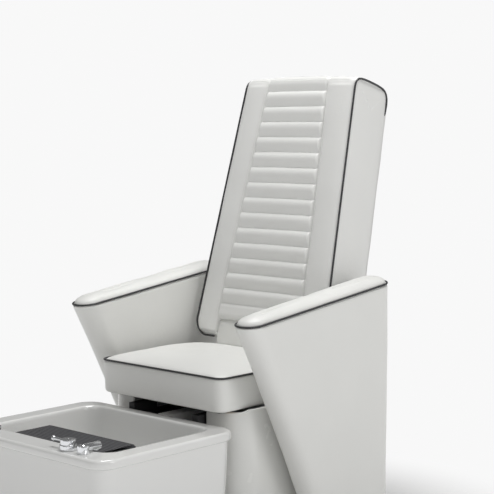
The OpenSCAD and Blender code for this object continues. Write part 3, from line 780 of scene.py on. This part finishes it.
def make_bath():
    """One moulding: outer wall, lip, rolled rim, deck, inner wall, floor and underside, back to the start."""
    rim = tub_hi.z
    floor = tub_lo.z + 0.005
    x, y0, y1 = tub_hi.x, tub_lo.y, tub_hi.y
    in_x = x - 0.066
    in_y0 = y0 + 0.080
    in_y1 = y1 - 0.047
    rings = []
    for k, z in ((0.0095, rim - 0.024), (0.0035, rim - 0.0265), (0.0005, rim - 0.024), (0.0, rim - 0.018),
                 (0.0, rim - 0.010), (0.0008, rim - 0.0055), (0.003, rim - 0.0022), (0.0065, rim - 0.0004),
                 (0.010, rim)):
        rings.append(bath_ring(x - k, y0 + k, y1 - k, 0.058 - k * 0.6, z))
    for f in (0.02, 0.1, 0.3, 0.5, 0.7, 0.9, 0.98):
        rings.append(bath_ring(x - 0.010 - 0.052 * f, y0 + 0.010 + 0.066 * f, y1 - 0.010 - 0.033 * f,
                               0.052, rim))
    for k, z in ((-0.004, rim - 0.0003), (-0.001, rim - 0.002), (0.001, rim - 0.006), (0.002, rim - 0.014)):
        rings.append(bath_ring(in_x - k, in_y0 + k, in_y1 - k, 0.050, z))
    for f in np.linspace(0.12, 0.80, 8):
        k = 0.002 + 0.010 * f
        rings.append(bath_ring(in_x - k, in_y0 + k, in_y1 - k, 0.050, rim + (floor - rim) * f))
    for w in np.linspace(10, 90, 8):
        a = math.radians(w)
        k = 0.012 + 0.040 * (1 - math.cos(a))
        rings.append(bath_ring(in_x - k, in_y0 + k, in_y1 - k, 0.052, floor + 0.040 - 0.040 * math.sin(a)))
    drain = (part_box("drain_fitting")[0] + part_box("drain_fitting")[1]) / 2
    start = bath_ring(in_x - 0.060, in_y0 + 0.060, in_y1 - 0.060, 0.050, floor)
    angle = np.arctan2(start[:, 1] - drain.y, start[:, 0] - drain.x)
    hole = np.column_stack([drain.x + 0.0225 * np.cos(angle), drain.y + 0.0225 * np.sin(angle)])
    for f in (0.0, 0.4, 0.8, 0.97):
        flat = start[:, :2] * (1 - f) + hole * f
        rings.append(at_height(flat, floor - 0.0006 * f))
    rings.append(at_height(hole, floor - 0.001))
    rings.append(at_height(hole, floor - 0.0045))
    under = floor - 0.005
    for f in (0.9, 0.0):
        flat = start[:, :2] * (1 - f) + hole * f
        rings.append(at_height(flat, under))
    rings.append(bath_ring(in_x - 0.030, in_y0 + 0.030, in_y1 - 0.030, 0.05, under + 0.002))
    rings.append(bath_ring(in_x - 0.004, in_y0 + 0.004, in_y1 - 0.004, 0.05, under + 0.030))
    rings.append(bath_ring(in_x + 0.0035, in_y0 - 0.0035, in_y1 + 0.0035, 0.053, rim - 0.014))
    rings.append(bath_ring(in_x + 0.006, in_y0 - 0.006, in_y1 + 0.006, 0.053, rim - 0.0095))
    rings.append(bath_ring(x - 0.011, y0 + 0.011, y1 - 0.011, 0.052, rim - 0.0095))
    obj = loft("bath_moulding", rings, GELCOAT, capped=False, ring_closed=True)
    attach(obj, "base")
    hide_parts("tub_basin")


def make_skirt():
    """Shell under the rim, tapering a little to a rounded foot."""
    x, y0, y1 = skirt_hi.x, skirt_lo.y, skirt_hi.y
    low, high = skirt_lo.z, skirt_hi.z
    wall = 0.005
    outer = [(0.0, high), (0.0, high - 0.02)]
    outer += [(0.016 * f ** 1.6, high - 0.02 + (low + 0.03 - high + 0.02) * f)
              for f in np.linspace(0.1, 1, 10)]
    outer += [(0.0175, low + 0.012), (0.0195, low + 0.004), (0.023, low)]
    rings = [bath_ring(x - k, y0 + k, y1 - k, 0.052, z) for k, z in outer]
    rings += [bath_ring(x - k - wall, y0 + k + wall, y1 - k - wall, 0.047, z + (0.004 if z == low else 0))
              for k, z in outer[::-1]]
    obj = loft("bath_skirt", rings, GELCOAT, capped=False, ring_closed=True)
    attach(obj, "base")
    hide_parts("tub_skirt")


def make_footrest_pad():
    """Rubber pad with raised ribs across it."""
    lo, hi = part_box("footrest_pad")
    xs = np.linspace(lo.x, hi.x, 60)
    count = 12
    depth = hi.y - lo.y
    ys, zs = [], []
    for i in range(count):
        for f, lift in ((0.0, 0), (0.12, 1), (0.22, 1.25), (0.5, 1.3), (0.78, 1.25), (0.88, 1), (1.0, 0)):
            ys.append(lo.y + 0.004 + (depth - 0.008) * (i + f * 0.82 + 0.09) / count)
            zs.append(hi.z - 0.004 + 0.0030 * lift)
    profile = [(lo.y + 0.001, lo.z), (lo.y, lo.z + 0.003), (lo.y + 0.001, hi.z - 0.006)]
    profile += list(zip(ys, zs))
    profile += [(hi.y - 0.001, hi.z - 0.006), (hi.y, lo.z + 0.003), (hi.y - 0.001, lo.z)]
    profile = np.array(profile)
    middle = np.array([(lo.y + hi.y) / 2, lo.z])
    rings = []
    for x in xs:
        near = min(x - lo.x, hi.x - x)
        shrink = 1 - 0.02 * math.exp(-near / 0.003)
        pts = middle + (profile - middle) * shrink
        rings.append(np.column_stack([np.full(len(pts), x), pts]))
    obj = loft("footrest_cover", rings, MATERIALS["footrest_rubber"])
    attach(obj, "footrest")
    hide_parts("footrest_pad")


# ---------- base ----------
def make_base_side(side, label):
    """Moulded side panel: straight behind, turning in at the front, with a rounded top edge."""
    lo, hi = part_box("base_side_panel_" + label)
    thick = 0.010
    r = 0.090
    outer = max(abs(lo.x), abs(hi.x))
    inner = min(abs(lo.x), abs(hi.x))
    front, rear = lo.y, hi.y
    path = [(x, front, 270) for x in np.linspace(inner, outer - r - 0.004, 8)]
    for w in np.linspace(0, 90, 14):
        a = math.radians(270 + w)
        path.append((outer - r + r * math.cos(a), front + r + r * math.sin(a), 270 + w))
    for y in np.linspace(front + r, rear, 20)[1:]:
        path.append((outer, y, 360))
    half = thick / 2
    section = []
    z0, z1 = lo.z, hi.z
    for w in np.linspace(180, 0, 9):
        section.append((half * math.cos(math.radians(w)), z1 - half + half * math.sin(math.radians(w))))
    for w in np.linspace(0, -180, 5):
        section.append((half * math.cos(math.radians(w)),
                        z0 + half * 0.6 + half * 0.6 * math.sin(math.radians(w))))
    rings = []
    for x, y, w in path:
        a = math.radians(w)
        n = np.array([math.cos(a), math.sin(a)])
        c = np.array([x, y]) - n * half
        sink = 0.007 * (1 - smooth_step(0.276, 0.284, x))
        rings.append([(side * (c[0] + n[0] * k), c[1] + n[1] * k, z - sink * (z > (z0 + z1) / 2))
                      for k, z in section])
    rings = np.array(rings)
    tip = rings[0].mean(0)
    nose = rings[0].copy()
    nose[:, :2] = tip[:2] + (nose[:, :2] - tip[:2]) * 0.5
    nose[:, 0] -= side * 0.003
    rings = np.concatenate([[nose], rings])
    # The side panel takes the base gelcoat, whose darker, olive colour is painted shade from the arms.
    obj = loft("base_side_" + label, rings, SHADE_TINTED_BASE_COAT)
    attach(obj, "base")
    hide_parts("base_side_panel_" + label)


# node: (body, width of its rounded edges)
REFINED = {
    "base_rear_panel": ("base", 0.0015), "base_plate": ("base", 0.001),
    "rail_beam_left": ("base", 0.0008), "rail_beam_right": ("base", 0.0008),
    "slide_rail_left": ("base", 0.0012), "slide_rail_right": ("base", 0.0012),
    "slide_actuator_tube": ("base", 0.0025), "control_box": ("base", 0.004),
    "keypad_housing": ("base", 0.002), "slide_key": ("slide_key", 0.0012),
    "recline_key": ("recline_key", 0.0012), "seat_frame": ("seat", 0.001),
    "slide_runner_left": ("seat", 0.001), "slide_runner_right": ("seat", 0.001),
    "hinge_ears": ("seat", 0.001), "seat_board": ("seat", 0.001),
    "footrest_plate": ("footrest", 0.0015), "footrest_bracket": ("base", 0.001),
    "mixer_body": ("base", 0.0015), "mixer_lever": ("mixer_lever", 0.0012),
    "drain_knob": ("drain_knob", 0.002), "filler_spout": ("base", 0.001),
    "jet_covers": ("base", 0.0012), "drain_plug": ("drain_plug", 0.0012),
    "drain_fitting": ("base", 0.0006), "power_inlet": ("base", 0.0008),
    "leveling_feet": ("base", 0.0015), "recline_lever": ("back", 0.0008),
    "recline_rod": ("recline_rod", 0.0008), "back_hinge_arms": ("back", 0.0008),
    "hinge_pins": ("back", 0.0008), "arm_spacers": ("base", 0.0008),
    "rear_panel_screws": ("base", 0.0006),
}


# ---------- studio ----------
def make_floor():
    """Pale floor that fades into the backdrop's white far from the chair."""
    size = 40.0
    verts = [(0, 0, 0)] + [(size * math.cos(a), size * math.sin(a), 0)
                           for a in np.linspace(0, 2 * math.pi, 64, endpoint=False)]
    faces = [(0, 1 + i, 1 + (i + 1) % 64) for i in range(64)]
    mat = bpy.data.materials.new("studio_floor")
    mat.use_nodes = True
    tree = mat.node_tree
    tree.nodes.clear()
    out = tree.nodes.new("ShaderNodeOutputMaterial")
    mix = tree.nodes.new("ShaderNodeMixShader")
    diffuse = node(tree, "ShaderNodeBsdfDiffuse", Color=(0.86, 0.86, 0.86, 1))
    glow = node(tree, "ShaderNodeEmission", Color=(0.94, 0.94, 0.94, 1), Strength=1.0)
    coords = tree.nodes.new("ShaderNodeTexCoord")
    length = tree.nodes.new("ShaderNodeVectorMath")
    length.operation = "LENGTH"
    fade = tree.nodes.new("ShaderNodeMapRange")
    fade.inputs["From Min"].default_value = 0.75
    fade.inputs["From Max"].default_value = 1.3
    fade.interpolation_type = "SMOOTHSTEP"
    tree.links.new(coords.outputs["Object"], length.inputs[0])
    tree.links.new(length.outputs["Value"], fade.inputs["Value"])
    tree.links.new(fade.outputs["Result"], mix.inputs["Fac"])
    tree.links.new(diffuse.outputs["BSDF"], mix.inputs[1])
    tree.links.new(glow.outputs["Emission"], mix.inputs[2])
    tree.links.new(mix.outputs["Shader"], out.inputs["Surface"])
    floor = new_piece("floor", verts, faces, mat, smooth=False)
    if floor.data.polygons[0].normal.z < 0:
        floor.data.flip_normals()


def make_world():
    world = bpy.data.worlds.new("studio")
    bpy.context.scene.world = world
    world.use_nodes = True
    tree = world.node_tree
    tree.nodes.clear()
    out = tree.nodes.new("ShaderNodeOutputWorld")
    mix = tree.nodes.new("ShaderNodeMixShader")
    path = tree.nodes.new("ShaderNodeLightPath")
    seen = node(tree, "ShaderNodeBackground", Color=(0.94, 0.94, 0.94, 1), Strength=1.0)
    lit = node(tree, "ShaderNodeBackground", Color=(1.0, 1.0, 0.99, 1), Strength=0.20)
    tree.links.new(path.outputs["Is Camera Ray"], mix.inputs["Fac"])
    tree.links.new(lit.outputs["Background"], mix.inputs[1])
    tree.links.new(seen.outputs["Background"], mix.inputs[2])
    tree.links.new(mix.outputs["Shader"], out.inputs["Surface"])


def area_light(name, place, target, size, power):
    data = bpy.data.lights.new(name, "AREA")
    data.shape = "DISK"
    data.size = size
    data.energy = power
    obj = bpy.data.objects.new(name, data)
    bpy.context.scene.collection.objects.link(obj)
    obj.location = place
    obj.rotation_mode = "QUATERNION"
    obj.rotation_quaternion = (Vector(target) - Vector(place)).to_track_quat("-Z", "Y")


def make_camera():
    azimuth, pitch, distance = math.radians(42.5), math.radians(5.01), 4.132
    target = Vector((0.182, SEAT_FRONT + 0.209, SEAT_TOP + 0.372))
    away = Vector((math.sin(azimuth) * math.cos(pitch), -math.cos(azimuth) * math.cos(pitch),
                   math.sin(pitch)))
    data = bpy.data.cameras.new("camera")
    data.sensor_width = 36.0
    data.lens = 98.4
    data.clip_end = 200.0
    data.dof.use_dof = False
    cam = bpy.data.objects.new("camera", data)
    bpy.context.scene.collection.objects.link(cam)
    cam.location = target + away * distance
    cam.rotation_mode = "QUATERNION"
    cam.rotation_quaternion = (-away).to_track_quat("-Z", "Y")
    bpy.context.scene.camera = cam


make_camera()
make_world()
make_floor()
area_light("key", (4.0, 0.5, 2.1), (0, 0.1, 1.0), 2.0, 37)
area_light("fill", (0.9, -1.9, 1.7), (-0.2, 0, 0.65), 1.4, 5)
area_light("top", (0.0, 0.45, 4.2), (0, 0.1, 0.7), 2.0, 98)
bpy.context.scene.view_settings.view_transform = "Standard"

make_seat()
for arm_side, arm_label in ((1, "left"), (-1, "right")):
    make_arm(arm_side, arm_label)
    make_base_side(arm_side, arm_label)
make_back_welts(make_back())
make_flap()
make_back_stitches()
make_bath()
make_skirt()
make_footrest_pad()
for part_name, (part_body, edge_width) in REFINED.items():
    refine(part_name, part_body, edge_width)
